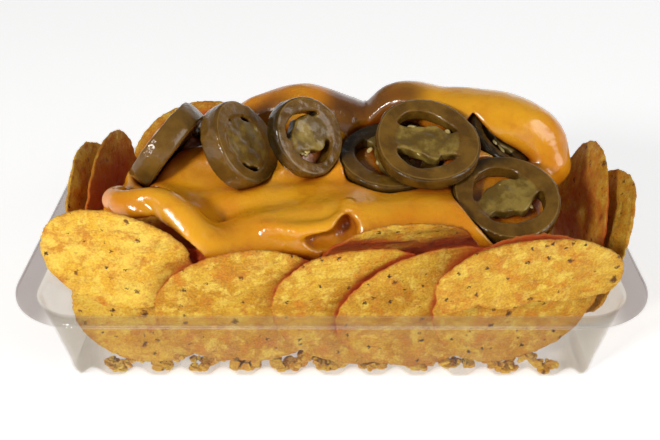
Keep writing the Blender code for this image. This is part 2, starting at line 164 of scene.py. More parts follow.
# Sides of the pepper rings that are darker, partly a deep green skin and partly painted shade: towards
# where, and between which shares of the radius the darkening deepens.
NO_DARK_SIDE = ((0, 0, 1), 9.0, 10.0)
DARK_SIDES = {
    "pepper_2": ((0.7, -0.2, -0.7), 0.55, 1.0),
    "pepper_3": ((-1.0, 0.0, -0.15), 0.35, 0.7),
    "pepper_5": ((-0.5, 0.8, 0.2), 0.1, 0.5),
    "pepper_6": ((-0.7, -0.7, 0.0), -1.2, -0.6),
    "pepper_7": ((-0.3, 0.9, 0.3), 0.5, 1.0),
}
# How strongly a chip is painted with red-orange shade where other pieces shut it in, from 0 to 1: most of
# them, and the others.
STAIN = 0.9
STAINED = {
    "chip_left_outer": 0.0, "chip_right_outer": 0.0, "chip_corner_left": 0.6, "chip_front_2": 0.7,
    "chip_second_right": 0.4, "chip_left_inner": 0.8, "chip_right_inner": 0.8, "chip_second_left": 0.6,
}
SOAKED_BACK = 0.75  # the least painted shade on the back row's inner faces
# How wide a ring's pale core is, as a share of its radius: most of them, and the others.
CORE_SHARE = 0.36
CORES = {"pepper_1": 0.6, "pepper_2": 0.58, "pepper_3": 0.42}
# How much paler and browner than the rest a ring is, from 0 to 1.
TANNED = {"pepper_1": 0.35, "pepper_2": 0.2}
# Loose chips of the heap, layer by layer: the height of their middles and how many there are.
HEAP_LAYERS = ((8.0, 13), (15.0, 12), (22.0, 12), (29.0, 10), (35.0, 8))
CRUMB_COUNT = 440
LOOSE_PHASE_STEP = 1.3
# The random seed that each kind of piece starts from.
CHIP_SEED, LOOSE_CHIP_SEED, HEAP_SEED, PEPPER_SEED, CRUMB_SEED = 11, 101, 5, 31, 9


# ---- noise, colours and meshes
def lattice(i, j, k, seed):
    """A fixed pseudo-random number from -1 to 1 for each point of a whole-numbered grid."""
    n = (i * 374761393 + j * 668265263 + k * 982451653 + seed * 974711) & 0xFFFFFFFF
    n = ((n ^ (n >> 13)) * 1274126177) & 0xFFFFFFFF
    return ((n ^ (n >> 16)) & 0xFFFF) / 32767.5 - 1.0


def noise(x, y, z, size, seed=0):
    """Smooth noise from -1 to 1 with lumps about `size` across. size may differ for the three axes."""
    sizes = size if isinstance(size, tuple) else (size, size, size)
    cells, shares = [], []
    for value, width in zip((x, y, z), sizes):
        scaled = np.asarray(value, float) / width + 1000.5
        cell = np.floor(scaled).astype(np.int64)
        share = scaled - cell
        cells.append(cell)
        shares.append(share * share * (3 - 2 * share))
    total = 0.0
    for corner in range(8):
        ahead = (corner & 1, corner >> 1 & 1, corner >> 2)
        weight = 1.0
        for step, share in zip(ahead, shares):
            weight = weight * (share if step else 1 - share)
        total = total + weight * lattice(*[c + s for c, s in zip(cells, ahead)], seed)
    return total


def smoothstep(low, high, value):
    share = np.clip((value - low) / (high - low), 0, 1)
    return share * share * (3 - 2 * share)


def linear(colour):
    """A colour given as it looks on screen, from 0 to 255, as the linear colour that shaders use."""
    shares = [c / 255 for c in colour]
    return tuple(c / 12.92 if c <= 0.04045 else ((c + 0.055) / 1.055) ** 2.4 for c in shares) + (1.0,)


def mesh_object(name, points, faces, material, **attributes):
    """points in millimetres. Each attribute is one number for each point, or one for all."""
    mesh = bpy.data.meshes.new(name)
    mesh.from_pydata((np.asarray(points, float) * MM).tolist(), [], [list(face) for face in faces])
    for key, values in attributes.items():
        layer = mesh.attributes.new(key, "FLOAT", "POINT")
        layer.data.foreach_set("value", np.full(len(points), values, np.float32))
    mesh.shade_smooth()
    mesh.materials.append(material)
    made = bpy.data.objects.new(name, mesh)
    scene.collection.objects.link(made)
    return made


def smooth_mesh(piece, passes):
    smoothing = piece.modifiers.new("smooth", "SMOOTH")
    smoothing.iterations = passes


def settle(piece, slot, *nodes):
    """Every piece rides on the one body and the imported parts named by nodes are hidden; slot is not used.
    """
    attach(piece, "root")
    if nodes:
        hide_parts(*nodes)


# ---- shader helpers
def fill(tree, node, inputs):
    for key, value in inputs.items():
        if isinstance(value, bpy.types.NodeSocket):
            tree.links.new(value, node.inputs[key])
        else:
            node.inputs[key].default_value = value


def add(tree, kind, inputs=None, **properties):
    made = tree.nodes.new("ShaderNode" + kind)
    for key, value in properties.items():
        setattr(made, key, value)
    fill(tree, made, inputs or {})
    return made


def mix(tree, share, first, second, blend="MIX"):
    """first blended with second by share; a colour of three numbers is one as it looks on screen."""
    first, second = (linear(side) if isinstance(side, tuple) and len(side) == 3 else side
                     for side in (first, second))
    made = add(tree, "Mix", {0: share, 6: first, 7: second}, data_type="RGBA", blend_type=blend)
    return made.outputs[2]


def steps(tree, value, low, high, to_low=0.0, to_high=1.0):
    """A number that goes smoothly from to_low, where value is low, to to_high, where it is high."""
    inputs = {"Value": value, "From Min": low, "From Max": high, "To Min": to_low, "To Max": to_high}
    return add(tree, "MapRange", inputs, interpolation_type="SMOOTHSTEP").outputs["Result"]


def calculate(tree, operation, *values, kind="Math"):
    return add(tree, kind, dict(enumerate(values)), operation=operation).outputs[0]


def openness(tree, reach):
    """1 in the open and towards 0 in a gap, looking `reach` metres round."""
    return add(tree, "AmbientOcclusion", {"Distance": reach}, samples=6).outputs["AO"]


def own(tree, name):
    """A number that the mesh holds at each of its points."""
    return add(tree, "Attribute", attribute_name=name).outputs["Fac"]


def start_material(name):
    material = bpy.data.materials.new(name)
    material.use_nodes = True
    tree = material.node_tree
    shader = tree.nodes["Principled BSDF"]
    place = add(tree, "TexCoord").outputs["Object"]
    return material, tree, shader, place


def noise_node(tree, place, scale, detail=3.0, roughness=0.5, seed=None):
    inputs = {"Vector": place, "Scale": scale, "Detail": detail, "Roughness": roughness}
    if seed is not None:
        inputs["W"] = seed
    return add(tree, "TexNoise", inputs, noise_dimensions="3D" if seed is None else "4D").outputs["Fac"]


def bump(tree, height, distance, strength=1.0, under=None):
    inputs = {"Height": height, "Distance": distance, "Strength": strength}
    if under is not None:
        inputs["Normal"] = under
    return add(tree, "Bump", inputs).outputs["Normal"]


# ---- materials
WHITE = (1.0, 1.0, 1.0, 1.0)
# Flecks of dark corn skin: cells per metre, radius as a share of a cell, chance of none, colour.
FLECKS = (
    (170.0, 0.085, 0.55, (70, 40, 16)),
    (115.0, 0.075, 0.60, (110, 66, 24)),
    (60.0, 0.060, 0.72, (84, 46, 18)),
)


def tortilla_material():
    """Fried corn: mottled yellow, toasted on blisters and edges, with dark flecks and short darker streaks.

    Where chips stand close to each other or to the sauce, red-orange painted shade stands for the shade there
    and the light the sauce throws back onto them.
    """
    material, tree, shader, place = start_material("tortilla_fried")
    seed = own(tree, "seed")
    toast = own(tree, "toast")
    pale = own(tree, "pale")
    second_seed = calculate(tree, "ADD", seed, 7.3)
    broad = noise_node(tree, place, 95.0, 3.0, 0.6, seed)
    golden = mix(tree, steps(tree, broad, 0.38, 0.62), (188, 134, 28), (212, 166, 48))
    yellow = mix(tree, steps(tree, broad, 0.38, 0.62), (226, 176, 54), (240, 204, 88))
    # pale: the chip's own paleness, with painted light on chips that lie in shade
    colour = mix(tree, pale, golden, yellow)
    light = noise_node(tree, place, 260.0, 4.0, 0.64, seed)
    colour = mix(tree, steps(tree, light, 0.48, 0.64, 0.0, 0.75), colour, (236, 208, 96))
    warm = noise_node(tree, place, 210.0, 4.0, 0.66, second_seed)
    colour = mix(tree, steps(tree, warm, 0.48, 0.66, 0.0, 0.85), colour, (204, 132, 32))
    stretched = add(tree, "Mapping", {"Vector": place, "Scale": (0.34, 1.0, 1.0)}).outputs["Vector"]
    crease = noise_node(tree, stretched, 520.0, 4.0, 0.6, seed)
    colour = mix(tree, steps(tree, crease, 0.56, 0.72, 0.0, 0.6), colour, (168, 104, 28))
    browned = calculate(tree, "MULTIPLY", toast, steps(tree, warm, 0.30, 0.65, 0.5, 1.0))
    colour = mix(tree, browned, colour, (184, 108, 26))
    wobble = add(tree, "TexNoise", {"Vector": place, "Scale": 1100.0, "Detail": 2.0}).outputs["Color"]
    wobble = calculate(tree, "MULTIPLY", wobble, (0.0028, 0.0028, 0.0), kind="VectorMath")
    moved = calculate(tree, "ADD", place, wobble, kind="VectorMath")
    moved = calculate(tree, "ADD", moved, seed, kind="VectorMath")
    for scale, size, chosen, tint in FLECKS:
        cells = add(tree, "TexVoronoi", {"Vector": moved, "Scale": scale}, voronoi_dimensions="2D")
        chances = add(tree, "SeparateColor", {0: cells.outputs["Color"]}).outputs
        kept = steps(tree, chances[0], chosen, chosen + 0.02)
        width = steps(tree, chances[1], 0.0, 1.0, 0.5, 1.6)
        share = calculate(tree, "DIVIDE", cells.outputs["Distance"], width)
        fleck = calculate(tree, "MULTIPLY", kept, steps(tree, share, size * 0.4, size * 1.1, 0.95, 0.0))
        colour = mix(tree, fleck, colour, tint)
    grain = noise_node(tree, place, 1500.0, 2.0, 0.6)
    speckle = mix(tree, steps(tree, grain, 0.3, 0.7), (120, 76, 20), (255, 236, 170))
    colour = mix(tree, 0.28, colour, speckle, "OVERLAY")
    # painted shade: red-orange where the chip is shut in by the sauce and other pieces
    stain = own(tree, "stain")
    stained = mix(tree, steps(tree, stain, 0.35, 0.95), (204, 102, 34), (194, 66, 26))
    colour = mix(tree, steps(tree, stain, 0.0, 0.55, 0.0, 0.92), colour, stained)
    normal = bump(tree, noise_node(tree, place, 1100.0, 5.0, 0.6, seed), 0.0007, 0.75)
    normal = bump(tree, noise_node(tree, stretched, 420.0, 5.0, 0.65, seed), 0.0014, 0.75, normal)
    fill(tree, shader, {
        "Base Color": colour, "Normal": normal,
        "Roughness": steps(tree, noise_node(tree, place, 300.0), 0.3, 0.7, 0.52, 0.78),
        "Specular IOR Level": 0.3,
        "Subsurface Weight": 0.08, "Subsurface Radius": (1.0, 0.5, 0.15), "Subsurface Scale": 0.0012,
    })
    return material


def cheese_material():
    """Thick warm sauce: smooth and glossy, with painted shade deeper in colour in its folds and painted brown
    shade along the ridge's middle.
    """
    material, tree, shader, place = start_material("cheese_sauce_glossy")
    broad = noise_node(tree, place, 34.0)
    colour = mix(tree, steps(tree, broad, 0.35, 0.65), (232, 146, 18), (242, 172, 32))
    swirl = noise_node(tree, place, 110.0, 4.0, 0.6)
    colour = mix(tree, steps(tree, swirl, 0.50, 0.74, 0.0, 0.5), colour, (208, 118, 18))
    # painted shade: browner along the ridge's middle
    colour = mix(tree, own(tree, "cooled"), colour, (104, 56, 18))
    # painted shade: darker and redder in the sauce's folds, where it is shut in
    fold = steps(tree, openness(tree, 0.012), 0.20, 0.75, 0.9, 0.0)
    colour = mix(tree, fold, colour, (160, 62, 12))
    normal = bump(tree, noise_node(tree, place, 160.0), 0.0014, 0.4)
    normal = bump(tree, noise_node(tree, place, 700.0, 2.0), 0.0002, 0.3, normal)
    fill(tree, shader, {
        "Base Color": colour, "Normal": normal,
        "Roughness": steps(tree, noise_node(tree, place, 90.0), 0.3, 0.7, 0.16, 0.3),
        "Subsurface Weight": 0.15, "Subsurface Radius": (1.0, 0.35, 0.05), "Subsurface Scale": 0.003,
        "Coat Weight": 0.5, "Coat Roughness": 0.09,
    })
    return material


def pepper_material():
    """Wet pickled pepper: part says how far in it is, from SKIN by FLESH to CORE.

    dark is how much darker it is, partly a deep green skin and partly painted shade, and tan how pale and
    brown.
    """
    material, tree, shader, place = start_material("pepper_wet")
    part = own(tree, "part")
    seed = own(tree, "seed")
    cloud = noise_node(tree, place, 160.0, 4.0, 0.6, seed)
    skin = mix(tree, steps(tree, cloud, 0.35, 0.65), (74, 50, 12), (108, 76, 22))
    flesh = mix(tree, steps(tree, cloud, 0.35, 0.65), (102, 70, 20), (130, 94, 32))
    core = mix(tree, steps(tree, cloud, 0.40, 0.62), (110, 84, 30), (160, 134, 62))
    colour = mix(tree, steps(tree, part, 0.15, 0.85), skin, flesh)
    under_skin, no_core = steps(tree, part, 0.30, 0.55), steps(tree, part, 0.60, 0.95, 0.55, 0.0)
    colour = mix(tree, calculate(tree, "MULTIPLY", under_skin, no_core), colour, (158, 126, 62))
    colour = mix(tree, steps(tree, part, 1.1, 1.8), colour, core)
    colour = mix(tree, own(tree, "tan"), colour, (152, 112, 50))
    # darker: partly a deep green skin, partly painted shade on sides turned from the light
    colour = mix(tree, own(tree, "dark"), colour, (22, 18, 7))
    # painted shade: darker in the ring's holes and gaps, where it is shut in
    colour = mix(tree, steps(tree, openness(tree, 0.006), 0.15, 0.65, 0.85, 0.0), colour, (34, 22, 8))
    fill(tree, shader, {
        "Base Color": colour,
        "Normal": bump(tree, noise_node(tree, place, 420.0, 4.0, 0.6, seed), 0.0007, 0.5),
        "Roughness": steps(tree, part, 0.3, 1.6, 0.14, 0.3), "Specular IOR Level": 0.3,
        "Subsurface Weight": 0.2, "Subsurface Radius": (0.8, 0.6, 0.15), "Subsurface Scale": 0.002,
        "Coat Weight": 0.35, "Coat Roughness": 0.06,
    })
    return material


def seed_material():
    material, tree, shader, place = start_material("pepper_seed")
    spread = noise_node(tree, place, 700.0)
    colour = mix(tree, steps(tree, spread, 0.3, 0.7), (196, 166, 84), (232, 212, 146))
    fill(tree, shader, {
        "Base Color": colour, "Normal": bump(tree, spread, 0.0003, 0.4), "Roughness": 0.3,
        "Coat Weight": 0.4, "Coat Roughness": 0.1,
    })
    return material


def plastic_material():
    """Thin clear sheet with a little haze: greyer where rim is 1, painted shade on the rim's ends, and
    clearer where clear is, painted light on the walls and the rim's long sides.
    """
    material = bpy.data.materials.new("clear_sheet")
    material.use_nodes = True
    tree = material.node_tree
    tree.nodes.clear()
    place = add(tree, "TexCoord").outputs["Object"]
    haze = noise_node(tree, place, 120.0, 4.0, 0.6)
    clear = own(tree, "clear")
    # painted shade: the rim greyer at the tray's ends, and painted light: clearer elsewhere
    tint = mix(tree, own(tree, "rim"), (0.87, 0.85, 0.815, 1.0), (0.70, 0.665, 0.655, 1.0))
    tint = mix(tree, clear, tint, (0.97, 0.965, 0.96, 1.0))
    through = add(tree, "BsdfTransparent", {"Color": tint}).outputs[0]
    veil = add(tree, "BsdfDiffuse", {"Color": (0.70, 0.68, 0.66, 1.0)}).outputs[0]
    milky = steps(tree, haze, 0.3, 0.7, 0.003, 0.02)
    body = add(tree, "MixShader", {0: milky, 1: through, 2: veil}).outputs[0]
    wavy = bump(tree, noise_node(tree, place, 60.0, 2.0), 0.002, 0.12)
    gloss = add(tree, "BsdfGlossy", {"Color": WHITE, "Roughness": 0.05, "Normal": wavy}).outputs[0]
    slant = add(tree, "LayerWeight", {"Blend": 0.5, "Normal": wavy}).outputs["Facing"]
    facing = calculate(tree, "POWER", slant, 5.0)
    least = steps(tree, clear, 0.75, 1.0, 0.008, 0.05)
    facing = calculate(tree, "MULTIPLY_ADD", facing, 0.8, least)
    surface = add(tree, "MixShader", {0: facing, 1: body, 2: gloss}).outputs[0]
    add(tree, "OutputMaterial", {"Surface": surface})
    return material


# ---- chips
def outline_share(angle, phase):
    """How far out a chip's edge is that way, as a share of its radius."""
    return 1 + 0.022 * np.sin(2 * angle + phase) + 0.014 * np.sin(3 * angle + 2.3 * phase)


def square_to_disc(cells):
    """A square grid pulled out to a disc: its two coordinates and its cells, as index quads."""
    line = np.linspace(-1, 1, cells + 1)
    u, v = np.meshgrid(line, line)
    x = (u * np.sqrt(1 - v * v / 2)).ravel()
    y = (v * np.sqrt(1 - u * u / 2)).ravel()
    row = cells + 1
    corner = (np.arange(cells)[:, None] * row + np.arange(cells)).ravel()
    quads = np.stack([corner, corner + 1, corner + row + 1, corner + row], axis=1)
    edge = list(range(row)) + [row * i + cells for i in range(1, row)]
    edge += [row * cells + i for i in range(cells - 1, -1, -1)] + [row * i for i in range(cells - 1, 0, -1)]
    return x, y, quads, np.array(edge)


def blisters(x, y, size, seed, count):
    """Bubbles raised by frying: how high each point stands, in millimetres, and how toasted it is."""
    chance = np.random.default_rng(seed)
    height, toast = np.zeros_like(x), np.zeros_like(x)
    for _ in range(count):
        angle, far = chance.uniform(0, 2 * pi), sqrt(chance.uniform(0, 0.85))
        middle = (far * cos(angle) * size[0] / 2, far * sin(angle) * size[1] / 2)
        radius = chance.uniform(1.8, 5.0)
        squeeze, turn = chance.uniform(0.6, 1.0), chance.uniform(0, pi)
        dx, dy = x * size[0] / 2 - middle[0], y * size[1] / 2 - middle[1]
        along = dx * cos(turn) + dy * sin(turn)
        across = (dy * cos(turn) - dx * sin(turn)) / squeeze
        share = np.clip(1 - (along**2 + across**2) / radius**2, 0, 1)
        height = np.maximum(height, share**1.4 * radius * chance.uniform(0.10, 0.20))
        toast = np.maximum(toast, share * chance.uniform(0.0, 0.75))
    return height, toast


def pieces_round(name):
    """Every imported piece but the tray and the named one, to find how shut in that one is."""
    points, faces = [], []
    for other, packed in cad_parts.items():
        if other in (name, "tray"):
            continue
        start = len(points)
        points += [vert.co / MM for vert in packed.data.vertices]
        faces += [tuple(index + start for index in face.vertices) for face in packed.data.polygons]
    return BVHTree.FromPolygons(points, faces)


def crowding(points, side, others, reach):
    """From 0 in the open to 1 where every short ray out of that side of a chip meets another piece."""
    rays, widest, between = 14, 0.96, 2.4
    share = np.zeros(len(points))
    spread = side.to_track_quat("Z", "Y")
    for ray in range(rays):
        tilt, turn = sqrt((ray + 0.5) / rays) * widest, between * ray
        way = spread @ Vector((tilt * cos(turn), tilt * sin(turn), sqrt(1 - tilt * tilt)))
        for index, point in enumerate(points):
            distance = others.ray_cast(point, way, reach)[3]
            if distance is not None:
                share[index] += (1 - 0.7 * distance / reach) / rays
    return share


def stains(grid, turned, middle, sign, others):
    """How much painted shade one side of a chip gets, worked out at every other point of its grid.

    The side that faces the heap, with the sauce before it, gets painted shade from further off.
    """
    reach, low, high = (17.0, 0.30, 0.82) if sign > 0 else (30.0, 0.12, 0.62)
    row = int(sqrt(len(grid)))
    coarse = grid.reshape(row, row, 3)[::2, ::2].reshape(-1, 3)
    side = turned @ Vector((0, 0, sign))
    points = [turned @ Vector(point) + Vector(middle) + side * 0.5 for point in coarse]
    share = smoothstep(low, high, crowding(points, side, others, reach)).reshape((row + 1) // 2, -1)
    fine, every_other = np.arange(row), np.arange(0, row, 2)
    share = np.array([np.interp(fine, every_other, line) for line in share])
    return np.array([np.interp(fine, every_other, line) for line in share.T]).T.ravel()


def make_chip(name, placing, phase, seed, material, cells, break_at=None, rough=1.0, pale=0.0, others=None,
              stained=STAIN, soaked=0.0):
    """A round fried chip in its own frame, thickness along Z, with blistered faces and an uneven edge.

    break_at is where it has snapped, as a share of its radius. rough scales its waves and blisters. others
    are the pieces round it, which set its painted shade; shaded is how strongly it is painted, and soaked is
    the least painted shade on its back.
    """
    middle, facing, lean, size, turned, curl = placing
    ux, uy, quads, edge = square_to_disc(cells)
    angle = np.arctan2(uy, ux)
    far = np.hypot(ux, uy)
    share = outline_share(angle, phase)
    ragged = 0.0
    for depth, radius, width, number in ((0.016, 7, 1.3, 0), (0.014, 22, 1.1, 1), (0.009, 48, 1.1, 8)):
        circle = radius * np.cos(angle), radius * np.sin(angle), 0 * angle
        ragged = ragged + depth * noise(*circle, width, seed + number)
    share = share * (1 + ragged * far**10) - 0.014 * far**6
    y = uy
    if break_at is not None:
        top = np.sqrt(np.clip(1 - ux * ux, 0, 1))
        snapped = break_at + 0.05 * np.sin(9 * ux) + 0.03 * noise(ux, ux, ux, 0.11, seed)
        bottom = np.maximum(-top, snapped)
        rise = np.where(top < 1e-6, 0.5, (uy + top) / np.maximum(2 * top, 1e-6))
        y = bottom + (top - bottom) * rise
    across, up = size[0] / 2, size[1] / 2
    spin = radians(turned)
    px, py = ux * across * share, y * up * share
    px, py = px * cos(spin) - py * sin(spin), px * sin(spin) + py * cos(spin)
    lift = curl * y * y + 0.5 * np.sin(2.2 * ux + phase) * (y + 0.4 * ux)
    lift = lift + rough * 0.45 * noise(px, py, 0 * px, 13.0, seed + 2)
    waves = 0.34 * noise(px, py, 0 * px, (9.0, 3.0, 1.0), seed + 3)
    waves += 0.20 * noise(px, py, 0 * px, (3.6, 1.6, 1.0), seed + 4)
    thin = CHIP_THICKNESS / 2 * (0.86 + 0.14 * noise(px, py, 0 * px, 8.0, seed + 5)) * (1 - 0.35 * far**8)
    bubbles = min(max(6, int(len(ux) / 200)), 26)
    sides, toasts = [], []
    for sign, number in ((1, 0), (-1, 1)):
        raised, browned = blisters(ux, y, size, seed * 2 + number, bubbles)
        raised = raised * (1 - far**6)
        pits = 0.10 * noise(px, py, 0 * px + 40 * number, 1.7, seed + 6)
        sides.append(lift + rough * waves + sign * (thin + rough * (raised * 0.75 + pits)))
        rim = smoothstep(0.90, 1.0, far) * (0.35 + 0.35 * noise(px, py, 0 * px, 4.0, seed + 7))
        toasts.append(np.clip(browned * 0.8 + rim, 0, 1))
    count = len(ux)
    front = np.stack([px, py, sides[0]], axis=1)
    back = np.stack([px, py, sides[1]], axis=1)
    around = (front[edge] + back[edge]) / 2
    out = around[:, :2] / np.maximum(np.linalg.norm(around[:, :2], axis=1), 1e-6)[:, None]
    around[:, :2] += out * 0.35
    points = np.concatenate([front, back, around])
    following = np.roll(np.arange(len(edge)), -1)
    rim = 2 * count + np.arange(len(edge))
    strips = [
        np.stack([edge, rim, rim[following], edge[following]], axis=1),
        np.stack([rim, edge + count, edge[following] + count, rim[following]], axis=1),
    ]
    faces = np.concatenate([quads, quads[:, ::-1] + count, *strips])
    toast = np.concatenate([toasts[0], toasts[1], toasts[0][edge] * 0.7 + 0.12])
    angles = Euler((radians(90 + lean), 0.0, radians(facing)))
    # painted shade: a chip with no pieces given lies deep in the heap and is shaded evenly
    stain = np.full(len(points), 0.45)
    if others:
        on_front, on_back = (stains(side, angles.to_quaternion(), middle, sign, others)
                             for side, sign in ((front, 1), (back, -1)))
        # painted shade on the back face, at least soaked away from the edge
        on_back = np.maximum(on_back, soaked * smoothstep(1.0, 0.75, far))
        stain = np.concatenate([on_front, on_back, (on_front[edge] + on_back[edge]) / 2]) * stained
    chip = mesh_object(name, points, faces, material, toast=toast, seed=3.7 * seed, pale=pale, stain=stain)
    chip.location = Vector(middle) * MM
    chip.rotation_euler = angles
    return chip


def make_chips(material):
    for number, (name, placing) in enumerate([*CHIPS.items(), ("chip_broken", BROKEN_CHIP)]):
        chip = make_chip(
            name + "_fried", placing, PHASE_STEP * number, CHIP_SEED + number, material, CHIP_CELLS,
            BREAK_AT if name == "chip_broken" else None, rough=1.25, pale=PALER_CHIPS.get(name, PALE),
            others=pieces_round(name), stained=STAINED.get(name, STAIN),
            soaked=SOAKED_BACK if "back" in name else 0.0)
        settle(chip, "tortilla", name)


# ---- the heap under the sauce
def make_heap(material):
    """Loose chips lying every way round a smaller core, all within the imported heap's outline."""
    low, high = (Vector(corner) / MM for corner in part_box("chip_heap"))
    chance = np.random.default_rng(HEAP_SEED)
    number = 0
    for height, count in HEAP_LAYERS:
        for place in range(count):
            share = (place + 0.5) / count * 2 * pi + height
            half_x, half_y = (high.x - low.x) / 2 - 17, (high.y - low.y) / 2 - 12
            x = (low.x + high.x) / 2 + half_x * cos(share) * chance.uniform(0.72, 1.0)
            y = (low.y + high.y) / 2 + half_y * sin(share) * chance.uniform(0.6, 1.0)
            size = chance.uniform(38, 46)
            placing = (
                (x, y, height + chance.uniform(-1, 1)), chance.uniform(0, 360), chance.uniform(-108, -72),
                (size, size * 0.94), 0.0, chance.uniform(0.5, 2.0),
            )
            name = f"heap_chip_{number + 1:02d}"
            chip = make_chip(name, placing, LOOSE_PHASE_STEP * number, LOOSE_CHIP_SEED + number, material,
                             LOOSE_CHIP_CELLS)
            settle(chip, "tortilla")
            number += 1
    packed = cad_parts["chip_heap"].data
    middle = (low + high) / 2
    points = np.array([vert.co for vert in packed.vertices]) / MM
    shrunk, lowered = np.array((0.80, 0.66, 0.84)), np.array((0, 0, 1.5))
    points = (points - np.array(middle)) * shrunk + np.array(middle) - lowered
    points += 0.8 * np.stack([noise(*points.T, 4.0, seed) for seed in (1, 2, 3)], axis=1)
    faces = [tuple(face.vertices) for face in packed.polygons]
    # painted shade: the core lies deep in the heap and is shaded all over
    core = mesh_object("heap_core", points, faces, material, toast=0.5, seed=2.0, pale=0.0, stain=0.7)
    settle(core, "tortilla", "chip_heap")


# ---- shapes from distances
def surface_of(distance, low, pitch):
    """The surface where a gridded distance is zero, as points in millimetres and faces."""
    grid = openvdb.FloatGrid(float(np.max(distance)))
    grid.copyFromArray(distance.astype(np.float32))
    points, quads = grid.convertToQuads(isovalue=0.0)
    return np.asarray(points, float) * pitch + np.array(low), np.asarray(quads)[:, ::-1]


def smooth_union(first, second, width):
    """Two distances joined into one, with a fillet about width across where the shapes meet."""
    share = np.clip(0.5 + 0.5 * (second - first) / width, 0, 1)
    return second * (1 - share) + first * share - width * share * (1 - share)


def along_ribbon(points, spacing):
    """Points about one spacing apart on a smooth curve through the ribbon's own points."""
    ends = [points[0], *points, points[-1]]
    for a, b, c, d in zip(ends, ends[1:], ends[2:], ends[3:]):
        count = max(1, round(dist(b[:3], c[:3]) / spacing))
        for step in range(count):
            t = step / count
            yield tuple(
                0.5 * (2 * q + (r - p) * t + (2 * p - 5 * q + 4 * r - s) * t**2
                       + (3 * q - p - 3 * r + s) * t**3)
                for p, q, r, s in zip(a, b, c, d)
            )
    yield points[-1]


def part_round(axes, middle, reach):
    """The part of a grid within reach of a point, and its three coordinates from that point."""
    part = tuple(slice(*np.searchsorted(axis, (at - reach, at + reach))) for axis, at in zip(axes, middle))
    return part, np.ix_(*[axis[span] - at for axis, span, at in zip(axes, part, middle)])


def length(grids):
    return np.sqrt(sum(grid * grid for grid in grids))


def component(grids, direction):
    """How far along a direction each point of a grid lies."""
    return sum(grid * share for grid, share in zip(grids, direction))


def cut(whole, room, width):
    """The shape less the room taken out of it, with the new edge rounded about width across."""
    return -smooth_union(-whole, room, width)


# ---- the sauce
def pour(axes):
    """The distance to the ribbons and folds, all joined."""
    far, spacing, beyond = 12.0, 1.6, 7.0
    counts = [len(axis) for axis in axes]
    whole = np.full(counts, far)
    for ribbon, blend in [(ribbon, 4.0) for ribbon in SAUCE_RIBBONS] + [(fold, 1.6) for fold in FOLDS]:
        distance = np.full(counts, far)
        for *place, radius in along_ribbon(ribbon, spacing):
            part, grids = part_round(axes, place, radius + beyond)
            distance[part] = np.minimum(distance[part], length(grids) - radius)
        whole = smooth_union(whole, distance, blend)
    return whole


def part_at_chips(whole, axes):
    """The sauce leaves room for each standing chip, and ends at its inner face."""
    beyond, depth = 4, 15.0
    for number, placing in enumerate([*CHIPS.values(), BROKEN_CHIP]):
        middle, facing, lean, size, turned, curl = placing
        part, grids = part_round(axes, middle, max(size) / 2 + beyond)
        if not all(grid.size for grid in grids):
            continue
        turn = Euler((radians(90 + lean), 0.0, radians(facing))).to_matrix()
        across, up, out = (component(grids, column) for column in turn.transposed())
        spin = radians(turned)
        across, up = (across * cos(spin) + up * sin(spin),
                      up * cos(spin) - across * sin(spin))
        across, up = across / (size[0] / 2), up / (size[1] / 2)
        lift = curl * up * up + 0.5 * np.sin(2.2 * across + PHASE_STEP * number) * (up + 0.4 * across)
        outline = (np.hypot(across, up) - 0.985) * min(size) / 2
        room = np.maximum(outline, np.maximum(lift - out, out - depth))
        whole[part] = cut(whole[part], room, 1.0)


def part_at_rings(whole, axes):
    """The sauce leaves room for each pepper ring, open above it unless the ring is a sunk one."""
    beyond, open_height = 14, 12.0
    for name, (middle, direction, diameter, thickness, _) in SLICES.items():
        facing = np.array(Vector(direction).normalized())
        part, grids = part_round(axes, middle, diameter / 2 + beyond)
        height = component(grids, facing)
        away = np.sqrt(np.maximum(sum(grid * grid for grid in grids) - height**2, 0))
        above = thickness / 2 if name in SUNK_SLICES else open_height
        if name == BARE_SLICE:
            rear = component(grids, (0.0, facing[2], -facing[1]))
            above = thickness / 2 + 9.0 * smoothstep(0.05, 0.45, rear * 2 / diameter)
        room = np.maximum(away - diameter * 0.51, np.maximum(-thickness / 2 - height, height - above))
        whole[part] = cut(whole[part], room, 1.5)


def make_sauce(material):
    """The ribbons and folds as one poured surface, with room in it for the chips and the rings."""
    low, high = np.array((-82.0, -58.0, 28.0)), np.array((86.0, 46.0, 82.0))
    counts = np.ceil((high - low) / SAUCE_PITCH).astype(int) + 1
    axes = [low[i] + SAUCE_PITCH * np.arange(counts[i]) for i in range(3)]
    whole = pour(axes)
    part_at_chips(whole, axes)
    part_at_rings(whole, axes)
    for middle, reach in HOLLOWS:
        grids = np.ix_(*[(axes[i] - middle[i]) / reach[i] for i in range(3)])
        whole = cut(whole, (length(grids) - 1) * min(reach), 2.4)
    near = np.abs(whole) < 3.0
    x, y, z = (axes[i][index] for i, index in enumerate(np.nonzero(near)))
    whole[near] += 0.55 * noise(x, y, z, (13.0, 9.0, 9.0), 21) + 0.22 * noise(x, y, z, 5.0, 22)
    points, faces = surface_of(whole, low, SAUCE_PITCH)
    x, y, z = points.T
    # painted shade: the middle of the ridge is browner, in patches
    cooled = smoothstep(-3, 7, y) * smoothstep(-50, -36, x) * smoothstep(36, 26, x) * smoothstep(58, 66, z)
    cooled = cooled * smoothstep(-0.7, 0.5, noise(x, y, z, (15.0, 8.0, 8.0), 33)) * smoothstep(24, 14, y)
    sauce = mesh_object("cheese_sauce_poured", points, faces, material, cooled=cooled * 0.9)
    smooth_mesh(sauce, 3)
    settle(sauce, "cheese_sauce", "cheese_sauce")


# ---- pepper rings
def ring_outline(radius, angle):
    return radius * (1 + 0.03 * np.sin(2 * angle + 0.6) + 0.02 * np.sin(3 * angle))


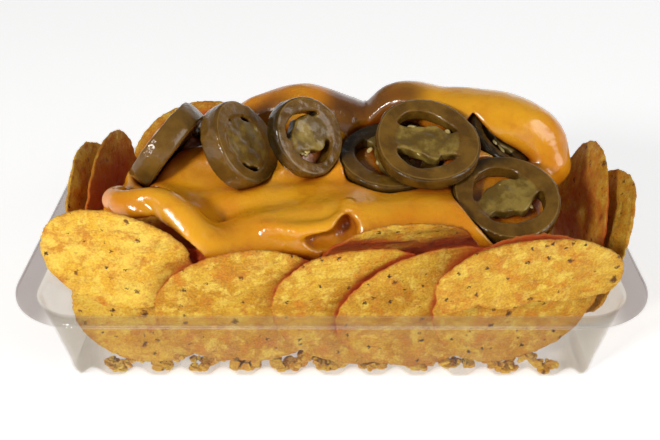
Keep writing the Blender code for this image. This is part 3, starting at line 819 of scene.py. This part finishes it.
def make_pepper(name, placing, seed, material, seeds_material):
    """A slice of pickled pepper: skin and thick flesh round a pale core that bridges its seed chambers."""
    middle, direction, diameter, thickness, core_angle = placing
    radius, half = diameter / 2, thickness / 2
    chance = np.random.default_rng(seed)
    reach, depth = radius * 1.06 + 1.0, half + 1.6
    flat = np.arange(-reach, reach, PEPPER_PITCH)
    deep = np.arange(-depth, depth, PEPPER_PITCH)
    x, y, z = np.meshgrid(flat, flat, deep, indexing="ij")
    far, angle = np.hypot(x, y), np.arctan2(y, x)
    outer = ring_outline(radius, angle)
    wall = radius * (0.33 + 0.04 * np.sin(3 * angle + seed))
    outer = outer - 0.5 * (z / half) ** 2 * chance.uniform(0.4, 1.2)
    ring = np.maximum(far - outer, outer - wall - far)
    wobble = noise(x, y, 0 * x, radius * 0.42, seed) * radius * 0.12
    ragged = noise(x, y, 0 * x, radius * 0.16, seed + 5) * radius * 0.06
    spine = np.abs(x + wobble) + ragged - radius * (0.22 + 0.06 * np.cos(2.0 * y / radius))
    core = np.maximum(spine, far - radius * 0.80)
    blob = np.hypot(x * 0.95 + wobble, y * 0.8) + ragged - radius * CORES.get(name, CORE_SHARE)
    core = smooth_union(core, blob, 1.6)
    plan = smooth_union(ring, core, 2.2)
    sunken = smoothstep(0.72, 0.50, far / radius) * (0.55 + 0.5 * noise(x, y, 0 * x, 2.6, seed + 3))
    round_edge = 0.75
    side, face = plan + round_edge, np.abs(z) - half + sunken + round_edge
    solid = np.hypot(np.maximum(side, 0), np.maximum(face, 0))
    solid = solid + np.minimum(np.maximum(side, face), 0) - round_edge
    solid += 0.20 * noise(x, y, z, 3.0, seed + 1) + 0.10 * noise(x, y, z, 1.4, seed + 2)
    points, faces = surface_of(solid, (flat[0], flat[0], deep[0]), PEPPER_PITCH)
    away, turn = np.hypot(points[:, 0], points[:, 1]), np.arctan2(points[:, 1], points[:, 0])
    part = SKIN + (FLESH - SKIN) * smoothstep(0.2, 1.5, ring_outline(radius, turn) - away)
    part = part + (CORE - FLESH) * smoothstep(0.66, 0.48, away / radius)
    facing = Vector(direction).normalized().to_track_quat("Z", "Y")
    turned = facing @ Euler((0, 0, radians(core_angle))).to_quaternion()
    # a darker side, partly a deep green skin and partly painted shade
    towards, start, end = DARK_SIDES.get(name, NO_DARK_SIDE)
    towards = np.array(turned.inverted() @ Vector(towards).normalized())
    dark = smoothstep(start, end, points @ towards / radius) * np.where(part > 1.3, 0.4, 1.0)
    ring = mesh_object(name + "_pickled", points, faces, material, part=part, seed=2.3 * seed,
                       dark=dark * 0.85, tan=TANNED.get(name, 0.0))
    smooth_mesh(ring, 2)
    place = Matrix.LocRotScale(Vector(middle) * MM, turned, None)
    ring.matrix_world = place
    settle(ring, "pickled_pepper", name)
    make_seeds(name, place, radius, half, chance, seeds_material)


def make_seeds(name, place, radius, half, chance, material):
    """Flat pale seeds that cling to the core at the edges of the chambers, as one piece."""
    points, faces = [], []
    count, rings, sides = 5, 5, 14
    long, wide, thick = 1.35, 1.05, 0.36
    for _ in range(count):
        side = chance.choice((-1, 1))
        middle = np.array((side * radius * chance.uniform(0.26, 0.36), radius * chance.uniform(-0.36, 0.36),
                           half * chance.uniform(-0.1, 0.45)))
        turn = Euler((chance.uniform(-0.7, 0.7), chance.uniform(-0.7, 0.7), chance.uniform(0, 6.3)))
        turn = turn.to_matrix()
        start = len(points)
        for ring in range(rings):
            height = sin(pi * (ring / (rings - 1) - 0.5))
            width = sqrt(max(0.0, 1 - height * height)) + 0.02
            for step in range(sides):
                angle = 2 * pi * step / sides
                local = Vector((long * width * cos(angle), wide * width * sin(angle), thick * height))
                points.append(np.array(turn @ local) + middle)
        for ring in range(rings - 1):
            for step in range(sides):
                a, b = start + ring * sides + step, start + ring * sides + (step + 1) % sides
                faces.append((a, b, b + sides, a + sides))
        faces.append(tuple(range(start + sides - 1, start - 1, -1)))
        faces.append(tuple(range(start + (rings - 1) * sides, start + rings * sides)))
    seeds = mesh_object(name + "_seeds", points, faces, material)
    seeds.matrix_world = place
    settle(seeds, "pickled_pepper")


# ---- the tray
def floor_height(x):
    """How far the ribs lift the tray's floor at x."""
    reach = RIB_PITCH * (RIB_COUNT + 1) / 2
    if abs(x) >= reach:
        return 0.0
    from_channel = abs(x - RIB_PITCH * round(x / RIB_PITCH))
    share = (from_channel - CHANNEL_FLAT / 2) / (RIB_PITCH / 2 - CHANNEL_FLAT / 2)
    return RIB_HEIGHT * 0.5 * (1 - cos(pi * max(0.0, min(1.0, share))))


def make_tray(material):
    """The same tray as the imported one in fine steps: rounded heel, ribbed floor, and a rim with a bead."""
    half_x = TRAY_LENGTH / 2 - RIM_END - WALL_TAPER
    half_y = TRAY_DEPTH / 2 - RIM_FRONT - WALL_TAPER
    corner_steps, side_steps, end_steps = 14, 160, 30
    front = []
    for step in range(corner_steps):
        angle = radians(180 + 90 * step / corner_steps)
        front.append((FOOT_CORNER - half_x + FOOT_CORNER * cos(angle),
                      FOOT_CORNER - half_y + FOOT_CORNER * sin(angle), cos(angle), sin(angle)))
    for step in range(side_steps + 1):
        front.append(((FOOT_CORNER - half_x) * (1 - 2 * step / side_steps), -half_y, 0.0, -1.0))
    front += [(-x, y, -nx, ny) for x, y, nx, ny in reversed(front[:corner_steps])]
    right = [(half_x, (FOOT_CORNER - half_y) * (1 - 2 * step / end_steps), 1.0, 0.0)
             for step in range(1, end_steps)]
    back = [(x, -y, nx, -ny) for x, y, nx, ny in reversed(front)]
    left = [(-x, -y, -nx, -ny) for x, y, nx, ny in right]
    outline = front + right + back + left
    # height, share of the ribs' height, and how far out from the foot
    profile = [(0.0, 1.0, -1.2), (0.12, 0.98, -0.6), (0.45, 0.94, -0.2), (0.95, 0.86, 0.1), (1.7, 0.7, 0.35),
               (2.6, 0.48, 0.5), (3.8, 0.25, 0.7), (5.5, 0.1, 1.0)]
    profile += [(height, 0.0, 1.0 + (WALL_TAPER - 1.6) * (height - 5.5) / 22.5) for height in range(8, 29, 4)]
    profile += [(28.8, 0.0, WALL_TAPER - 0.45), (29.3, 0.0, WALL_TAPER - 0.15), (29.6, 0.0, WALL_TAPER + 0.3)]
    rim_straight = (TRAY_LENGTH / 2 - RIM_CORNER, TRAY_DEPTH / 2 - RIM_CORNER)
    foot_straight = (half_x - FOOT_CORNER, half_y - FOOT_CORNER)
    # share of the way from the rim's inner edge to its outer one, and height
    rim_profile = [(0.0, 29.75), (0.10, 29.9), (0.22, 30.0), (0.55, 29.95), (0.82, 30.0), (0.92, 29.98),
                   (0.985, 29.7), (1.0, 29.3), (1.0, 28.8)]
    rings = [[(x + nx * out, y + ny * out, height + ribs * floor_height(x)) for x, y, nx, ny in outline]
             for height, ribs, out in profile]
    inner = [(x + nx * (WALL_TAPER + 0.6), y + ny * (WALL_TAPER + 0.6)) for x, y, nx, ny in outline]
    outer = []
    for x, y, nx, ny in outline:
        base = ((x - FOOT_CORNER * nx) * rim_straight[0] / foot_straight[0],
                (y - FOOT_CORNER * ny) * rim_straight[1] / foot_straight[1])
        outer.append((base[0] + RIM_CORNER * nx, base[1] + RIM_CORNER * ny))
    for share, height in rim_profile:
        rings.append([(a[0] + (b[0] - a[0]) * share, a[1] + (b[1] - a[1]) * share, height)
                      for a, b in zip(inner, outer)])
    count = len(outline)
    points = [point for ring in rings for point in ring]
    faces = []
    for start in range(0, len(points) - count, count):
        for i in range(count):
            j = (i + 1) % count
            faces.append((start + i, start + j, start + count + j, start + count + i))
    # the floor, in rows from each front station to the back station facing it
    rows, between = len(front), end_steps - 1
    inside = len(points)
    for i in range(1, rows - 1):
        ends = np.array(rings[0][i]), np.array(rings[0][2 * rows + between - 1 - i])
        points += [tuple(ends[0] + (ends[1] - ends[0]) * step / end_steps) for step in range(1, end_steps)]
    floor = np.empty((rows, end_steps + 1), int)
    floor[:, 0] = np.arange(rows)
    floor[:, -1] = 2 * rows + between - 1 - np.arange(rows)
    floor[0, 1:-1] = 2 * (rows + between) - np.arange(1, end_steps)
    floor[-1, 1:-1] = rows + np.arange(between)
    floor[1:-1, 1:-1] = np.arange(inside, len(points)).reshape(rows - 2, between)
    corners = floor[1:, :-1], floor[:-1, :-1], floor[:-1, 1:], floor[1:, 1:]
    faces += np.stack(corners, axis=2).reshape(-1, 4).tolist()
    # painted shade on the rim's ends, and painted light where the walls and the rim's long sides are clearer
    rim = np.zeros(len(points))
    rim[len(profile) * count : len(rings) * count] = 1.0
    from_middle = np.abs(np.array(points)[:, 0])
    at_ends, sides = smoothstep(78, 92, from_middle), smoothstep(78, 72, from_middle) * 0.7
    clear = np.where(rim > 0.5, 1 - at_ends, sides)
    tray = mesh_object("tray_clear", points, faces, material, rim=rim * at_ends, clear=clear)
    thickness = tray.modifiers.new("sheet", "SOLIDIFY")
    thickness.thickness = SHEET * MM
    thickness.offset = -1.0
    settle(tray, "clear_plastic", "tray")


def make_crumbs(material):
    """Broken bits of chip in the floor's channels, as one piece."""
    chance = np.random.default_rng(CRUMB_SEED)
    points, faces, toasts = [], [], []
    bm = bmesh.new()
    bmesh.ops.create_icosphere(bm, subdivisions=3, radius=1.0)
    unit = np.array([vert.co for vert in bm.verts])
    sides = [tuple(vert.index for vert in face.verts) for face in bm.faces]
    bm.free()
    for number in range(CRUMB_COUNT):
        channel = number % RIB_COUNT - RIB_COUNT // 2
        size = chance.uniform(0.7, 2.0)
        x = (RIB_PITCH * channel + chance.uniform(-6.4, 6.4)) * 0.96
        y = chance.uniform(43.0, 47.8) * (1 if number % 5 == 0 else -1)
        rise = chance.uniform(0.0, 1.2) * (2.4 - size)
        body = unit * (1 + 0.45 * noise(*(unit + number).T, (0.9, 0.9, 3.0), number)[:, None])
        thickness = chance.uniform(0.35, 0.6)
        body = body * np.array((size, size * chance.uniform(0.5, 1.0), size))
        body[:, 2] = np.clip(body[:, 2], -thickness, thickness) + 0.12 * noise(*body.T, 1.0, number)
        turn = Euler((chance.uniform(-0.2, 1.3), chance.uniform(-0.5, 0.5), chance.uniform(-0.5, 0.5)))
        body = body @ np.array(turn.to_matrix()).T
        floor = SHEET + floor_height(x)
        body += np.array((x, y, floor - body[:, 2].min() + 0.05 + rise))
        faces += [tuple(index + len(points) for index in side) for side in sides]
        points += list(body)
        toasts += [chance.uniform(0, 0.3)] * len(body)
    # the crumbs are made palest, painted light on bits that lie in shade
    crumbs = mesh_object("chip_crumbs", points, faces, material, toast=toasts, seed=9.1, pale=1.0, stain=0.0)
    settle(crumbs, "tortilla")


# ---- the scene
LIT_POINT = (0.0, 0.0, 0.03)


def make_stage():
    """A wide white floor just under the tray."""
    material, tree, shader, _ = start_material("floor_white")
    fill(tree, shader, {
        "Base Color": (0.80, 0.80, 0.80, 1.0), "Roughness": 0.9, "Specular IOR Level": 0.1,
        "Emission Color": WHITE, "Emission Strength": 0.58,
    })
    side, height = 20000.0, -0.05
    corners = [(-side, -side, height), (side, -side, height), (side, side, height), (-side, side, height)]
    floor = mesh_object("floor", corners, [(0, 1, 2, 3)], material)


def make_light(name, place, size, power, colour=(1.0, 1.0, 1.0)):
    """A round soft light that shines on the tray's middle."""
    light = bpy.data.lights.new(name, "AREA")
    light.shape = "DISK"
    light.size, light.energy, light.color = size, power, colour
    lamp = bpy.data.objects.new(name, light)
    lamp.location = place
    lamp.rotation_euler = (Vector(LIT_POINT) - Vector(place)).to_track_quat("-Z", "Y").to_euler()
    scene.collection.objects.link(lamp)


def make_camera():
    """In front of the tray, looking 30 degrees down at it."""
    camera = bpy.data.objects.new("camera", bpy.data.cameras.new("camera"))
    camera.data.lens = 53.18
    camera.data.clip_start = 0.01
    camera.data.clip_end = 100.0
    camera.location = (0.0001, -0.3024, 0.2056)
    camera.rotation_euler = (radians(60.0), 0.0, radians(0.13))
    scene.collection.objects.link(camera)
    bpy.context.scene.camera = camera


def make_world():
    """A pale wall all round, darker overhead."""
    world = bpy.data.worlds.new("studio")
    world.use_nodes = True
    tree = world.node_tree
    up = add(tree, "SeparateXYZ", {0: add(tree, "TexCoord").outputs["Generated"]}).outputs["Z"]
    strength = steps(tree, up, 0.10, 0.45, 0.72, 0.14)
    fill(tree, tree.nodes["Background"], {"Color": WHITE, "Strength": strength})
    scene.world = world


scene.view_settings.view_transform = "Standard"
tortilla = tortilla_material()
make_chips(tortilla)
make_heap(tortilla)
make_sauce(cheese_material())
pepper, pepper_seed = pepper_material(), seed_material()
for number, (name, placing) in enumerate(SLICES.items()):
    make_pepper(name, placing, PEPPER_SEED + number, pepper, pepper_seed)
make_tray(plastic_material())
make_crumbs(tortilla)
make_stage()
make_world()
make_light("key", (-0.44, -0.60, 0.42), 0.14, 3.75, (1.0, 0.98, 0.95))
make_light("fill", (0.8, -0.45, 0.45), 0.6, 3.0)
make_light("back", (0.5, 1.1, 0.45), 1.2, 1.9)
make_camera()
